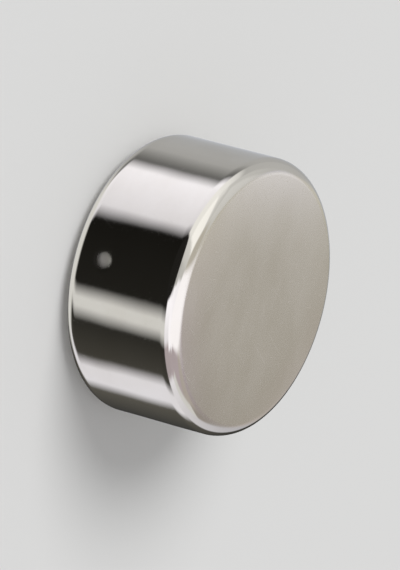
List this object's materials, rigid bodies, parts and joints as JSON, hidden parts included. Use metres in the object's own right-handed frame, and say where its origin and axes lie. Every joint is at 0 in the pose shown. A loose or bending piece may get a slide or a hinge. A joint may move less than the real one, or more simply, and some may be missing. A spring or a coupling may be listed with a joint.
{
  "type": "disc magnet",
  "caption": "Small solid disc magnet: a short plain cylinder with two flat pole faces and softly rounded edges, plated in bright nickel.",
  "frame": {"origin": "centre of the lower pole face, which is the face the magnet stands on", "axes": "+Z along the axis of magnetisation, from the lower pole face to the upper one; X and Y are any two directions across the disc, as it is round"},
  "size_m": [0.006, 0.006, 0.003],
  "materials": {
    "nickel_plating": "bright nickel plating over tumbled, sintered neodymium magnet; mirror-like wall and edges, and slightly softer pole faces"
  },
  "bodies": {
    "root": {"disc_magnet": "nickel_plating"}
  },
  "joints": []
}
